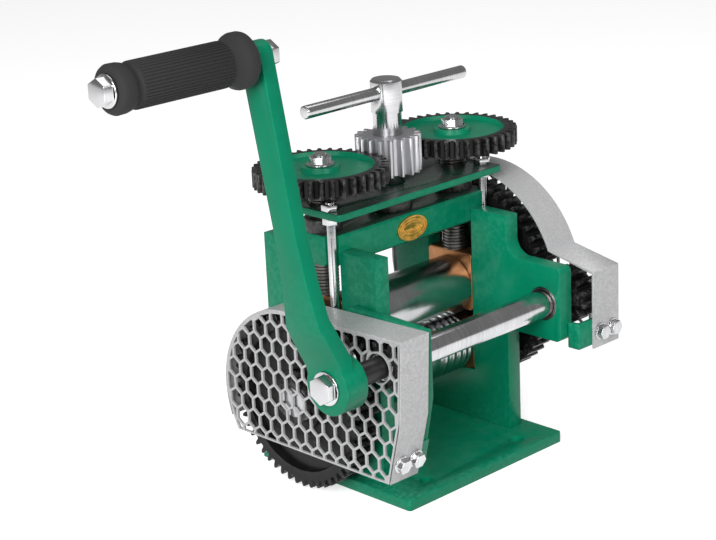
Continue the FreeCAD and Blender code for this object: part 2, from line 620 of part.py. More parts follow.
def make_crank_arm():
    """Arm stepped outwards above a round hub, tapered towards the grip."""
    body = new_body("crank_arm")
    body.Placement = FreeCAD.Placement(V(0, 0, 0), FreeCAD.Rotation(V(1, 0, 0), 0))
    side = sketch_on(body, "XZ_Plane", "0 - arm_root_width / 2")
    tip = f"{REACH_E} + arm_tip_width / 2"
    outline(side, [
        ("0", "0"), ("0", "joggle_start"), ("0 - arm_joggle", "joggle_start + joggle_rise"),
        ("0 - arm_joggle", tip), ("arm_thickness - arm_joggle", tip),
        ("arm_thickness - arm_joggle", "joggle_start + joggle_rise + 2"),
        ("arm_thickness", "joggle_start + 2"), ("arm_thickness", "0")])
    pad(body, side, "arm_root_width")
    taper = sketch_on(body, "YZ_Plane", "0 - arm_joggle - 5")
    wide, small = "arm_root_width / 2", "arm_tip_width / 2"
    shoulder = "joggle_start + joggle_rise"
    middle = "(arm_tip_width / 2 + 1.1)"
    neck = "(arm_tip_width / 2 - 0.3)"
    for sign in ("-1", "1"):
        outline(taper, [
            (f"{sign} * ({wide} + 1)", "0 - 1"), (f"{sign} * ({wide} - 0.6)", shoulder),
            (f"{sign} * {middle}", f"{shoulder} + 17"), (f"{sign} * {neck}", f"{shoulder} + 38"),
            (f"{sign} * {small}", REACH_E),
            (f"{sign} * {small}", f"{tip} + 5"), (f"{sign} * ({wide} + 5)", f"{tip} + 5"),
            (f"{sign} * ({wide} + 5)", "0 - 1")])
    arm = pocket(body, taper, "60", True)
    along = V(1, 0, 0)
    high = float(body.Shape.BoundBox.ZMax)
    round_edges(body, arm, lambda e: runs_along(e, along) and e.Vertexes[0].Point.z > high - 0.01,
                "arm_tip_width / 2 - 0.6")
    hub = sketch_on(body, "YZ_Plane", "0")
    circle(hub, "0", "0", "hub_diameter")
    pad(body, hub, "hub_length")
    holes = sketch_on(body, "YZ_Plane", "0 - arm_joggle - 5")
    circle(holes, "0", "0", "crank_end")
    circle(holes, "0", REACH_E, "spindle_diameter")
    pocket(body, holes, "60", True)
    lean = math.atan2(S["arm_lean"], S["arm_reach"])
    body.Placement = FreeCAD.Placement(V(0, 0, 0), FreeCAD.Rotation(V(1, 0, 0), -math.degrees(lean)))
    bind(body, "Placement.Base.x", HUB_X_E)
    bind(body, "Placement.Base.y", SHAFT_Y_E)
    bind(body, "Placement.Base.z", SHAFT_Z_E)


def make_crank_fittings():
    """Bolt at the hub, and the spindle with its nut and washers at the grip."""
    washer = cylinder("crank_washer", f"{HUB_X_E} - 1", SHAFT_Y_E, SHAFT_Z_E,
                      "crank_end / 2 + 2.3", "1", ALONG_X)
    head = hexagon("crank_head", f"{HUB_X_E} - 4.5", SHAFT_Y_E, SHAFT_Z_E, "arm_bolt_hex + 1", "3.5",
                   ALONG_X)
    keep(fuse("CrankBolt", washer, head), "crank_bolt")
    end = f"({FACE_X_E} - 3 - grip_length)"
    rod = cylinder("spindle_rod", f"{end} - 1.5", TIP_Y_E, TIP_Z_E, "spindle_diameter / 2",
                   "grip_length + 4.5 + arm_thickness + 5.5", ALONG_X)
    head = hexagon("spindle_head", f"{end} - 5.5", TIP_Y_E, TIP_Z_E, "arm_bolt_hex", "4", ALONG_X)
    plate = cylinder("spindle_washer", f"{end} - 1.5", TIP_Y_E, TIP_Z_E, "6.6", "1.2", ALONG_X)
    spacer = cylinder("spindle_spacer", f"{FACE_X_E} - 2.7", TIP_Y_E, TIP_Z_E, "6.5", "2.7", ALONG_X)
    keep(fuse("Spindle", rod, head, plate, spacer), "grip_spindle")
    start = f"({FACE_X_E} + arm_thickness)"
    nut = hexagon("nut_blank", start, TIP_Y_E, TIP_Z_E, "arm_bolt_hex", "4.5", ALONG_X)
    hole = cylinder("nut_hole", f"{start} - 1", TIP_Y_E, TIP_Z_E, "spindle_diameter / 2", "8", ALONG_X)
    keep(cut("SpindleNut", nut, hole), "spindle_nut")


def make_grip():
    """Ribbed rubber grip turned about its spindle: an inner flange, a waist and an outer flange."""
    body = new_body("grip")
    sketch = sketch_on(body, "XZ_Plane", "0")
    bore = "spindle_diameter / 2 + grip_clearance"
    waist, flange = "grip_diameter / 2", "grip_flange / 2"
    outline(sketch, [
        ("0", bore), ("0", f"{flange} - 2"), ("-1.5", flange), ("-5.5", flange),
        ("-8", f"{waist} + 0.8"), ("-12", waist), ("10.5 - grip_length", waist),
        ("9.7 - grip_length", f"{waist} - 1.4"), ("8.3 - grip_length", f"{waist} - 1.4"),
        ("7.2 - grip_length", f"{flange} - 2"), ("1.6 - grip_length", f"{flange} - 1.6"),
        ("0 - grip_length", f"{flange} - 3.2"), ("0 - grip_length", bore)])
    turned = body.newObject("PartDesign::Revolution", "grip_turned")
    turned.Profile = sketch
    turned.ReferenceAxis = (sketch, ["H_Axis"])
    turned.Angle = 360
    sketch.Visibility = False
    doc.recompute()
    bind(body, "Placement.Base.x", f"{FACE_X_E} - 3")
    bind(body, "Placement.Base.y", TIP_Y_E)
    bind(body, "Placement.Base.z", TIP_Z_E)


# Guards
def arc_points(centre_z, radius, first, last, count):
    """Points on a circle about the X axis, angles from +Y towards +Z in degrees."""
    angles = [math.radians(first + (last - first) * i / (count - 1)) for i in range(count)]
    return [(radius * math.cos(a), centre_z + radius * math.sin(a)) for a in angles]


def near_profile(inset):
    """The near guard's arc, then its corners from the top over the front to the bottom."""
    radius = S["near_guard_radius"] - inset
    bottom, front = S["near_guard_bottom"], S["near_guard_front"] - inset
    first = math.degrees(math.asin((bottom - LOWER_Z) / radius))
    rest = [(-front, S["near_guard_top"] - inset), (-(front - 2), S["near_guard_knee"]),
            (-(front - 9.5), bottom)]
    return LOWER_Z, radius, first, 93.0, rest


def far_profile(inset):
    """The far guard's arc over the gear, then the corners of the box for the pinion."""
    radius = S["far_guard_radius"] - inset
    bottom, front = S["far_guard_bottom"], S["far_guard_front"] - inset
    first = math.degrees(math.asin((bottom - SHAFT_Z) / radius))
    return SHAFT_Z, radius, first, 158.0, [(-front, S["far_guard_nose"] - inset), (-front, bottom)]


def polyline(profile, count=20):
    """Corners that follow a guard's outline closely enough to place its holes."""
    centre_z, radius, first, last, rest = profile
    return arc_points(centre_z, radius, first, last, count) + rest


def guard_wire(profile):
    centre_z, radius, first, last, rest = profile
    start, middle, end = [V(0, y, z) for y, z in arc_points(centre_z, radius, first, last, 3)]
    corners = [end] + [V(0, y, z) for y, z in rest] + [start]
    edges = [Part.Arc(start, middle, end).toShape()]
    edges += [Part.makeLine(corners[i], corners[i + 1]) for i in range(len(corners) - 1)]
    return Part.Wire(edges)


def rim_shape(profile, depth):
    """Bent strip that closes the edge of a guard, open towards the frame and at the bottom."""
    outside = Part.Face(guard_wire(profile(0))).extrude(V(depth, 0, 0))
    inside = Part.Face(guard_wire(profile(S["guard_sheet"]))).extrude(V(depth, 0, 0))
    low = inside.copy()
    low.translate(V(0, 0, -S["guard_sheet"] * 3))
    return outside.cut(inside.fuse(low)).removeSplitter()


def honeycomb(points):
    """Faces of six-sided cells that cover the outline, row by row."""
    column, row, web = S["mesh_column"], S["mesh_row"], S["mesh_web"]
    half = (column - web) / 2
    tall = (row * 4 / 3 - web) / 2
    cell = [(0, tall), (-half, tall / 2), (-half, -tall / 2), (0, -tall), (half, -tall / 2),
            (half, tall / 2), (0, tall)]
    low_y, high_y = min(p[0] for p in points), max(p[0] for p in points)
    low_z, high_z = min(p[1] for p in points), max(p[1] for p in points)
    faces = []
    for j in range(int((high_z - low_z) / row) + 2):
        for i in range(int((high_y - low_y) / column) + 2):
            y = low_y + (i + (j % 2) / 2) * column
            z = low_z + j * row
            faces.append(Part.Face(Part.makePolygon([V(0, y + a, z + b) for a, b in cell])))
    return faces


def cell_corners(face, shortest):
    """Corners of a trimmed cell in order and closed, without sides too short to cut."""
    corners = []
    for vertex in face.OuterWire.OrderedVertexes:
        if not corners or vertex.Point.distanceToPoint(corners[-1]) > shortest:
            corners.append(vertex.Point)
    if corners[0].distanceToPoint(corners[-1]) < shortest:
        corners.pop()
    return corners + corners[:1]


def mesh_shape(profile, shaft_hole):
    """Perforated side sheet of a guard, with a clearance hole where the drive shaft passes."""
    wires = [guard_wire(profile(S["guard_sheet"]))]
    window = Part.Face(guard_wire(profile(S["guard_sheet"] + S["mesh_border"])))
    raised = window.copy()
    raised.translate(V(0, 0, S["mesh_border"]))
    window = window.common(raised)
    if shaft_hole:
        clear = S["crank_end"] / 2 + 1.5
        centre = V(0, SHAFT_Y, SHAFT_Z)
        wires.append(Part.Wire(Part.makeCircle(clear, centre, V(1, 0, 0))))
        collar = Part.Wire(Part.makeCircle(clear + S["mesh_web"], centre, V(1, 0, 0)))
        window = window.cut(Part.Face(collar))
    cells = Part.makeCompound(honeycomb(polyline(profile(S["guard_sheet"]))))
    for face in cells.common(window).Faces:
        corners = cell_corners(face, S["mesh_web"] / 2)
        if len(corners) > 3 and face.Area > S["mesh_web"] ** 2 * 2:
            wires.append(Part.makePolygon(corners))
    return Part.Face(wires, "Part::FaceMakerBullseye").extrude(V(S["mesh_sheet"], 0, 0))


def make_guards():
    near_x = f"0 - {OUTER_E} - guard_stand_off - near_guard_depth"
    solid("near_guard_rim", rim_shape(near_profile, S["near_guard_depth"]), near_x)
    solid("near_guard_mesh", mesh_shape(near_profile, True), near_x)
    far_x = f"{OUTER_E} + far_stand_off"
    solid("far_guard_rim", rim_shape(far_profile, S["far_guard_depth"]), far_x)
    solid("far_guard_mesh", mesh_shape(far_profile, False),
          f"{far_x} + far_guard_depth - mesh_sheet")


def make_far_lug():
    """Angle lug from the far frame's arm to the front wall of the far guard."""
    body = new_body("far_guard_lug")
    root, front = "0 - bracket_front", "0 - far_guard_front + guard_sheet"
    bottom = "far_guard_bottom + 1.5"
    cheek = sketch_on(body, "YZ_Plane", f"{OUTER_E} - lug_thickness")
    rectangle(cheek, front, bottom, root, f"{bottom} + lug_height")
    pad(body, cheek, "lug_thickness")
    plate = sketch_on(body, "YZ_Plane", f"{OUTER_E} - lug_thickness")
    rectangle(plate, front, bottom, f"{front} + lug_thickness", f"{bottom} + lug_height")
    pad(body, plate, "lug_thickness + far_stand_off + far_guard_depth - 3")


def make_guard_screws():
    """Hexagon screws through the front walls of both guards into the lugs behind."""
    steps = (S["guard_bolt_inset"], S["guard_bolt_inset"] + S["guard_bolt_pitch"])
    rise = S["near_guard_knee"] - S["near_guard_bottom"]
    slope = 7.5 / rise
    middle = S["near_guard_bottom"] + 9.0
    y = -(S["near_guard_front"] - 2.0 - (S["near_guard_knee"] - middle) * slope)
    tilt = math.degrees(math.atan(slope))
    start = -(OUTER + S["guard_stand_off"] + S["near_guard_depth"])
    screws = [screw_at(start + step, y, middle, tilt) for step in steps]
    solid("near_guard_screws", Part.makeCompound(screws))
    start = OUTER + S["far_stand_off"]
    height = S["far_guard_bottom"] + 1.5 + S["lug_height"] / 2
    screws = [screw_at(start + step, -S["far_guard_front"], height, 0.0) for step in steps]
    solid("far_guard_screws", Part.makeCompound(screws))


def screw_at(x, y, z, tilt):
    """Small hexagon head with its washer on the outside of a guard wall."""
    radius = S["guard_bolt_hex"] / math.sqrt(3)
    corners = []
    for i in range(7):
        angle = math.radians(60 * i)
        corners.append(V(radius * math.cos(angle), 0, radius * math.sin(angle)))
    head = Part.Face(Part.makePolygon(corners)).extrude(V(0, -3.5, 0))
    washer = Part.makeCylinder(S["guard_bolt_hex"] / 2 + 1.0, 0.8, V(0, 0, 0), V(0, -1, 0))
    head = head.fuse(washer)
    head.rotate(V(0, 0, 0), V(1, 0, 0), tilt)
    head.translate(V(x, y, z))
    return head


# Beam, top plate and tie rods
def make_beam():
    """Beam between the posts of both frames, bored for the pressure screws and the adjuster."""
    body = new_body("screw_beam")
    sketch = sketch_on(body, "XY_Plane", BEAM_E)
    wide, end = "(slot_width / 2)", f"({OUTER_E} + beam_end)"
    narrow = "(rod_spacing_y / 2 - rod_diameter / 2 - 0.4)"
    corners = [(end, narrow), (OUTER_E, narrow), (OUTER_E, wide)]
    outline(sketch, [(x, y) for x, y in corners]
            + [(f"0 - {x}", y) for x, y in reversed(corners)]
            + [(f"0 - {x}", f"0 - {y}") for x, y in corners]
            + [(x, f"0 - {y}") for x, y in reversed(corners)])
    for side in ("-1", "1"):
        circle(sketch, f"{side} * {MID_E}", "0", "screw_diameter + 2 * screw_clearance")
    circle(sketch, "0", "0", "post_diameter + 2 * shaft_clearance")
    beam = pad(body, sketch, "beam_height")
    along = V(1, 0, 0)
    round_edges(body, beam, lambda e: runs_along(e, along), "frame_chamfer", "PartDesign::Chamfer")


def make_top_plate():
    """Thin plate over the beam, bored for the screws, the post and the four tie rods."""
    body = new_body("top_plate")
    sketch = sketch_on(body, "XY_Plane", PLATE_E)
    half = f"{OUTER_E} + top_plate_overhang"
    rectangle(sketch, f"0 - ({half})", "0 - top_plate_depth / 2", half, "top_plate_depth / 2")
    for side in ("-1", "1"):
        circle(sketch, f"{side} * {MID_E}", "0", "screw_diameter + 1")
        for depth in ("-1", "1"):
            circle(sketch, f"{side} * {ROD_X_E}", f"{depth} * rod_spacing_y / 2", "rod_diameter")
    circle(sketch, "0", "0", "post_diameter + 1")
    plate = pad(body, sketch, "top_plate_thickness")
    upright = V(0, 0, 1)
    round_edges(body, plate, lambda e: runs_along(e, upright), "frame_chamfer * 2")


def make_screw_nuts():
    """Black nuts on the beam that the pressure screws turn in."""
    for label, side in (("screw_nut_near", "-1"), ("screw_nut_far", "1")):
        middle = f"{side} * {MID_E}"
        blank = cylinder(label + "_blank", middle, "0", BEAM_TOP_E, "nut_block_size / 2",
                         "nut_block_height")
        bore = cylinder(label + "_bore", middle, "0", f"{BEAM_TOP_E} - 1",
                        "screw_diameter / 2 + screw_clearance", "nut_block_height + 2")
        keep(cut(label + "_turned", blank, bore), label)


def make_tie_rods():
    """Four rods outside the side frames, from the lugs to the nuts on the top plate."""
    rods, nuts = [], []
    top = PLATE_TOP_E
    for side in ("-1", "1"):
        for depth in ("-1", "1"):
            x, y = f"{side} * {ROD_X_E}", f"{depth} * rod_spacing_y / 2"
            rods.append(cylinder("rod", x, y, "rod_bottom", "rod_diameter / 2",
                                 f"{top} + 4 - rod_bottom"))
            for start, flats in ((top, "7"), (f"{PLATE_E} - 3", "6.5"),
                                 ("rod_bottom + rod_lug_height / 2", "4.8")):
                blank = hexagon("rod_nut_blank", x, y, start, flats, "3", FLATS_ALONG_X)
                hole = cylinder("rod_nut_hole", x, y, f"{start} - 1", "rod_diameter / 2", "5")
                nuts.append(cut("rod_nut", blank, hole))
    keep(group("TieRods", *rods), "tie_rods")
    keep(group("RodNuts", *nuts), "tie_rod_nuts")


# Roll adjustment
def make_screws():
    """Pressure screws that bear on the upper blocks and carry the top gears."""
    shoulder = TOP_GEAR_E
    for label, side in (("pressure_screw_near", "-1"), ("pressure_screw_far", "1")):
        x = f"{side} * {MID_E}"
        foot = f"({UPPER_E} + top_block_above)"
        thread = cylinder(label + "_thread", x, "0", foot, "screw_diameter / 2", f"{shoulder} - {foot}")
        stem = cylinder(label + "_stem", x, "0", shoulder, "screw_stem / 2", "top_gear_width + 5.5")
        keep(fuse(label + "_turned", thread, stem), label)
    for label, side in (("top_gear_nut_near", "-1"), ("top_gear_nut_far", "1")):
        x = f"{side} * {MID_E}"
        seat = f"{TOP_GEAR_E} + top_gear_width"
        washer = cylinder(label + "_washer", x, "0", seat, "6.2", "1")
        nut = hexagon(label + "_hex", x, "0", f"{seat} + 1", "9", "3.2")
        hole = cylinder(label + "_hole", x, "0", f"{seat} - 1", "screw_stem / 2", "9")
        keep(cut(label + "_bored", fuse(label + "_blank", washer, nut), hole), label)


def make_adjuster():
    """Post with a cross bar, turned by hand, that drives both top gears through its pinion."""
    foot = f"({BEAM_E} + 1)"
    post = cylinder("post_rod", "0", "0", foot, "post_diameter / 2", f"{POST_TOP_E} - 1 - {foot}")
    head = cylinder("post_head_rod", "0", "0", f"{POST_TOP_E} - 15", "post_head / 2", "14")
    crown = cone("post_crown", "0", "0", f"{POST_TOP_E} - 1", "post_head / 2", "post_head / 2 - 1", "1")
    height = f"({POST_TOP_E} - tee_drop)"
    hole = cylinder("tee_hole", "0 - 20", "0", height, "tee_diameter / 2", "40", ALONG_X)
    keep(cut("Post", fuse("post_blank", post, head, crown), hole), "adjuster_post")
    keep(cylinder("Tee", "0 - tee_length / 2", "0", height, "tee_diameter / 2", "tee_length", ALONG_X),
         "tee_bar")
    collar = cylinder("collar_blank", "0", "0", f"{BEAM_TOP_E} + 0.3", "collar_diameter / 2",
                      "collar_height")
    bore = cylinder("collar_bore", "0", "0", BEAM_TOP_E, "post_diameter / 2", "collar_height + 2")
    keep(cut("Collar", collar, bore), "post_collar")


def write_parts():
    """Writes each finished sub-part, after a look at every object's state and shape."""
    doc.recompute()
    for obj in doc.Objects:
        if "Invalid" in obj.State or "Error" in obj.State:
            raise RuntimeError(f"{obj.Label} failed: {obj.State}")
    os.makedirs("parts", exist_ok=True)
    for obj in nodes:
        if obj.Shape.isNull() or not obj.Shape.isValid():
            raise RuntimeError(f"{obj.Label} has no valid shape")
    for obj in nodes:
        obj.Shape.exportStep(f"parts/{obj.Label}.step")
    print(len(nodes), "sub-parts")


make_base()
make_side_frame("side_frame_near", -1, False)
make_side_frame("side_frame_far", 1, True)
make_near_bracket()
make_rolls()
make_spacer_rings()
make_blocks()
make_roll_fittings()
make_shaft()
make_far_gears()
make_near_gears()
make_crank_arm()
make_crank_fittings()
make_grip()
make_guards()
make_far_lug()
make_guard_screws()
make_beam()
make_top_plate()
make_screw_nuts()
make_tie_rods()
make_screws()
make_top_gears()
make_adjuster()
write_parts()
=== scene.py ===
import json
import math

import bmesh
import bpy
from mathutils import Matrix, Vector

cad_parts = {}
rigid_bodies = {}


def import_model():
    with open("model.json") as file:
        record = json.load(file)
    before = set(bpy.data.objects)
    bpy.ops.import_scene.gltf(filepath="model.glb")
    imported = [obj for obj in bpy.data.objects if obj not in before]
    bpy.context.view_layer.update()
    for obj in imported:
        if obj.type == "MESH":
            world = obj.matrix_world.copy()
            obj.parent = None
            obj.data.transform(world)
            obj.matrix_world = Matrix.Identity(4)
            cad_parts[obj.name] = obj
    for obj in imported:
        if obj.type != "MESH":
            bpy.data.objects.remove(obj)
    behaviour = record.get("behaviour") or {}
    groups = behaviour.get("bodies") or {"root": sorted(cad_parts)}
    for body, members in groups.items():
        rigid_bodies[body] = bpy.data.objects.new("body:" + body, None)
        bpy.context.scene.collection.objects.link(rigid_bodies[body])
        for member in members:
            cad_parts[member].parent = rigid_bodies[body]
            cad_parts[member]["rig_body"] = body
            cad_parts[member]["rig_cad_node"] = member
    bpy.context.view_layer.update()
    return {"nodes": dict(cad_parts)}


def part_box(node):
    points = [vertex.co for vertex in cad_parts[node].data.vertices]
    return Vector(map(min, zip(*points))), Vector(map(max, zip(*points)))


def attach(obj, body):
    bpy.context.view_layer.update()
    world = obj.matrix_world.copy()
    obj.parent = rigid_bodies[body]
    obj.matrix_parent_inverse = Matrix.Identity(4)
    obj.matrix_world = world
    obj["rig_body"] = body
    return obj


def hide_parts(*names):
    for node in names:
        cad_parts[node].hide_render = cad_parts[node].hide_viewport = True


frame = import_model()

bl_info = {
    "name": "Rolling mill dressing",
    "version": (1, 0, 0),
    "blender": (4, 5, 0),
    "location": "3D View > Sidebar > Mill",
    "description": "Dresses the packed model of a hand cranked rolling mill",
    "category": "Object",
}

MM = 0.001
NODES = frame["nodes"]


# Sizes and colours that a user would change
class MillFinishSettings(bpy.types.PropertyGroup):
    enamel: bpy.props.FloatVectorProperty(
        name="Enamel", description="Colour of the painted castings", subtype="COLOR",
        size=3, min=0, max=1, default=(0.0, 0.235, 0.12))
    oxide: bpy.props.FloatVectorProperty(
        name="Gear black", description="Colour of the blackened gears", subtype="COLOR",
        size=3, min=0, max=1, default=(0.006, 0.006, 0.006))
    # The shaft bushes do not use this colour: they carry dark steel as painted shade.
    bronze: bpy.props.FloatVectorProperty(
        name="Bronze", description="Colour of the bearing blocks and bushes", subtype="COLOR",
        size=3, min=0, max=1, default=(0.38, 0.17, 0.07))
    guard: bpy.props.FloatVectorProperty(
        name="Guard grey", description="Colour of the sprayed gear guards", subtype="COLOR",
        size=3, min=0, max=1, default=(0.54, 0.54, 0.55))
    gold: bpy.props.FloatVectorProperty(
        name="Badge gold", description="Colour of the oval badge", subtype="COLOR",
        size=3, min=0, max=1, default=(0.80, 0.42, 0.08))


class MillDetailSettings(bpy.types.PropertyGroup):
    casting_edge: bpy.props.FloatProperty(
        name="Casting edge", description="Rounding on the edges of painted castings",
        unit="LENGTH", default=0.0007, min=0, max=0.002)
    gear_edge: bpy.props.FloatProperty(
        name="Gear edge", description="Rounding on the edges of gear teeth",
        unit="LENGTH", default=0.00018, min=0, max=0.001)
    fitting_edge: bpy.props.FloatProperty(
        name="Fitting edge", description="Rounding on turned and small fittings",
        unit="LENGTH", default=0.0003, min=0, max=0.001)
    grip_ribs: bpy.props.IntProperty(
        name="Grip ribs", description="Number of lengthwise ribs on the grip",
        default=44, min=12, max=80)
    rib_height: bpy.props.FloatProperty(
        name="Rib height", description="How far the ribs stand out of the grip",
        unit="LENGTH", default=0.0005, min=0, max=0.002)
    thread_pitch: bpy.props.FloatProperty(
        name="Thread pitch", description="Pitch of the pressure screws",
        unit="LENGTH", default=0.0015, min=0.0005, max=0.004)


class MillStageSettings(bpy.types.PropertyGroup):
    lens: bpy.props.FloatProperty(
        name="Lens", description="Focal length of the camera in millimetres", default=98.2, min=20,
        max=300)
    sky: bpy.props.FloatProperty(
        name="Sky", description="Strength of the even light all round", default=0.22, min=0, max=5)
    key: bpy.props.FloatProperty(
        name="Key light", description="Power of the large soft light in watts", default=14.0, min=0,
        max=200)
    floor_glow: bpy.props.FloatProperty(
        name="Floor glow", description="How much the pale floor is lit from below", default=0.62,
        min=0, max=2)


def finish_settings():
    return bpy.context.scene.mill_finish


def detail_settings():
    return bpy.context.scene.mill_detail


# Shader effects shared by several finishes
def new_group(name, inputs, outputs):
    group = bpy.data.node_groups.new(name, "ShaderNodeTree")
    for label, value in inputs:
        kind = "NodeSocketVector" if isinstance(value, tuple) else "NodeSocketFloat"
        socket = group.interface.new_socket(name=label, in_out="INPUT", socket_type=kind)
        socket.default_value = value
    for label in outputs:
        group.interface.new_socket(name=label, in_out="OUTPUT", socket_type="NodeSocketFloat")
    return group, group.nodes.new("NodeGroupInput"), group.nodes.new("NodeGroupOutput")


def link(tree, source, target):
    tree.links.new(source, target)


def noise(tree, scale, detail=3.0, roughness=0.6):
    node = tree.nodes.new("ShaderNodeTexNoise")
    if not hasattr(scale, "node"):
        node.inputs["Scale"].default_value = scale
    else:
        link(tree, scale, node.inputs["Scale"])
    node.inputs["Detail"].default_value = detail
    node.inputs["Roughness"].default_value = roughness
    return node


def ramp(tree, source, low, high):
    """Values below low become 0 and values above high become 1."""
    node = tree.nodes.new("ShaderNodeMapRange")
    node.clamp = True
    node.inputs["From Min"].default_value = low
    node.inputs["From Max"].default_value = high
    link(tree, source, node.inputs["Value"])
    return node.outputs["Result"]


def combine(tree, first, second, operation="MULTIPLY"):
    node = tree.nodes.new("ShaderNodeMath")
    node.operation = operation
    for slot, value in ((0, first), (1, second)):
        if hasattr(value, "node"):
            link(tree, value, node.inputs[slot])
        else:
            node.inputs[slot].default_value = value
    return node.outputs[0]


def edge_rub_group():
    """Mask of rubbed edges, broken up by a fine noise."""
    group, start, end = new_group("EdgeRub", [("Amount", 1.0), ("Scale", 300.0)], ["Mask"])
    where = group.nodes.new("ShaderNodeTexCoord")
    speck = noise(group, start.outputs["Scale"])
    link(group, where.outputs["Object"], speck.inputs["Vector"])
    shape = group.nodes.new("ShaderNodeNewGeometry")
    edge = ramp(group, shape.outputs["Pointiness"], 0.52, 0.60)
    broken = combine(group, edge, ramp(group, speck.outputs["Fac"], 0.42, 0.62))
    mask = combine(group, broken, start.outputs["Amount"])
    link(group, mask, end.inputs["Mask"])
    return group


def cloud_group():
    """Slow variation of tone over a surface, with a finer grain as height."""
    group, start, end = new_group("Cloud", [("Scale", 30.0), ("Grain", 900.0)], ["Tone", "Height"])
    where = group.nodes.new("ShaderNodeTexCoord")
    slow = noise(group, start.outputs["Scale"], 4.0)
    fine = noise(group, start.outputs["Grain"], 2.0)
    link(group, where.outputs["Object"], slow.inputs["Vector"])
    link(group, where.outputs["Object"], fine.inputs["Vector"])
    link(group, slow.outputs["Fac"], end.inputs["Tone"])
    link(group, fine.outputs["Fac"], end.inputs["Height"])
    return group


def tool_mark_group():
    """Fine lines left by turning or grinding; the stretch is long across the lines."""
    group, start, end = new_group("ToolMarks", [("Stretch", (3000.0, 40.0, 40.0))],
                                  ["Tone", "Height"])
    where = group.nodes.new("ShaderNodeTexCoord")
    scale = group.nodes.new("ShaderNodeVectorMath")
    scale.operation = "MULTIPLY"
    link(group, where.outputs["Object"], scale.inputs[0])
    link(group, start.outputs["Stretch"], scale.inputs[1])
    lines = noise(group, 1.0, 2.0)
    link(group, scale.outputs[0], lines.inputs["Vector"])
    link(group, lines.outputs["Fac"], end.inputs["Tone"])
    link(group, lines.outputs["Fac"], end.inputs["Height"])
    return group


def dust_group():
    """Mask of faint dust on surfaces that look up."""
    group, start, end = new_group("Dust", [("Amount", 0.3), ("Scale", 120.0)], ["Mask"])
    where = group.nodes.new("ShaderNodeTexCoord")
    speck = noise(group, start.outputs["Scale"], 5.0)
    link(group, where.outputs["Object"], speck.inputs["Vector"])
    shape = group.nodes.new("ShaderNodeNewGeometry")
    split = group.nodes.new("ShaderNodeSeparateXYZ")
    link(group, shape.outputs["Normal"], split.inputs[0])
    up = ramp(group, split.outputs["Z"], 0.4, 1.0)
    mask = combine(group, up, ramp(group, speck.outputs["Fac"], 0.4, 0.75))
    link(group, combine(group, mask, start.outputs["Amount"]), end.inputs["Mask"])
    return group


EFFECTS = {}


def effect(tree, name, **values):
    """Places a shared effect in a material with its own values."""
    makers = {"EdgeRub": edge_rub_group, "Cloud": cloud_group, "ToolMarks": tool_mark_group,
              "Dust": dust_group}
    if name not in EFFECTS:
        EFFECTS[name] = makers[name]()
    node = tree.nodes.new("ShaderNodeGroup")
    node.node_tree = EFFECTS[name]
    for label, value in values.items():
        node.inputs[label].default_value = value
    return node


def mix_colour(tree, factor, first, second):
    node = tree.nodes.new("ShaderNodeMix")
    node.data_type = "RGBA"
    if hasattr(factor, "node"):
        link(tree, factor, node.inputs["Factor"])
    else:
        node.inputs["Factor"].default_value = factor
    for socket, value in ((node.inputs[6], first), (node.inputs[7], second)):
        if hasattr(value, "node"):
            link(tree, value, socket)
        else:
            socket.default_value = (*value, 1.0)
    return node.outputs[2]


def mix_value(tree, factor, low, high):
    node = tree.nodes.new("ShaderNodeMapRange")
    node.clamp = True
    link(tree, factor, node.inputs["Value"])
    node.inputs["To Min"].default_value = low
    node.inputs["To Max"].default_value = high
    return node.outputs["Result"]


def relief(tree, shader, height, distance, strength=1.0):
    bump = tree.nodes.new("ShaderNodeBump")
    bump.inputs["Distance"].default_value = distance
    bump.inputs["Strength"].default_value = strength
    link(tree, height, bump.inputs["Height"])
    link(tree, bump.outputs["Normal"], shader.inputs["Normal"])


def blank_material(name, **sockets):
    material = bpy.data.materials.new(name)
    material.use_nodes = True
    tree = material.node_tree
    shader = tree.nodes["Principled BSDF"]
    for label, value in sockets.items():
        shader.inputs[label.replace("_", " ")].default_value = value
    return material, tree, shader


def shade(colour, factor):
    return tuple(min(1.0, c * factor) for c in colour)


# Finishes of the mill
def green_enamel():
    material, tree, shader = blank_material("green_enamel", Specular_IOR_Level=0.18)
    colour = tuple(finish_settings().enamel)
    cloud = effect(tree, "Cloud", Scale=45.0, Grain=700.0)
    rub = effect(tree, "EdgeRub", Amount=0.40, Scale=400.0)
    dust = effect(tree, "Dust", Amount=0.06, Scale=160.0)
    tone = mix_colour(tree, ramp(tree, cloud.outputs["Tone"], 0.3, 0.7), shade(colour, 0.93),
                      shade(colour, 1.06))
    worn = mix_colour(tree, rub.outputs["Mask"], tone, (0.07, 0.42, 0.28))
    dusty = mix_colour(tree, dust.outputs["Mask"], worn, (0.35, 0.48, 0.42))
    link(tree, dusty, shader.inputs["Base Color"])
    link(tree, mix_value(tree, cloud.outputs["Tone"], 0.26, 0.38), shader.inputs["Roughness"])
    relief(tree, shader, cloud.outputs["Height"], 0.00005, 0.25)
    return material


# Darkened copy of the green enamel for the upward flats under the gears: a painted reflection of the
# dark gears above them, not an oiled finish.
def painted_reflection_enamel():
    material, tree, shader = blank_material("painted_reflection_enamel", Specular_IOR_Level=0.35)
    colour = shade(finish_settings().enamel, 0.3)
    cloud = effect(tree, "Cloud", Scale=60.0, Grain=700.0)
    tone = mix_colour(tree, ramp(tree, cloud.outputs["Tone"], 0.3, 0.7), colour,
                      (0.075, 0.085, 0.08))
    link(tree, tone, shader.inputs["Base Color"])
    link(tree, mix_value(tree, cloud.outputs["Tone"], 0.22, 0.34), shader.inputs["Roughness"])
    return material


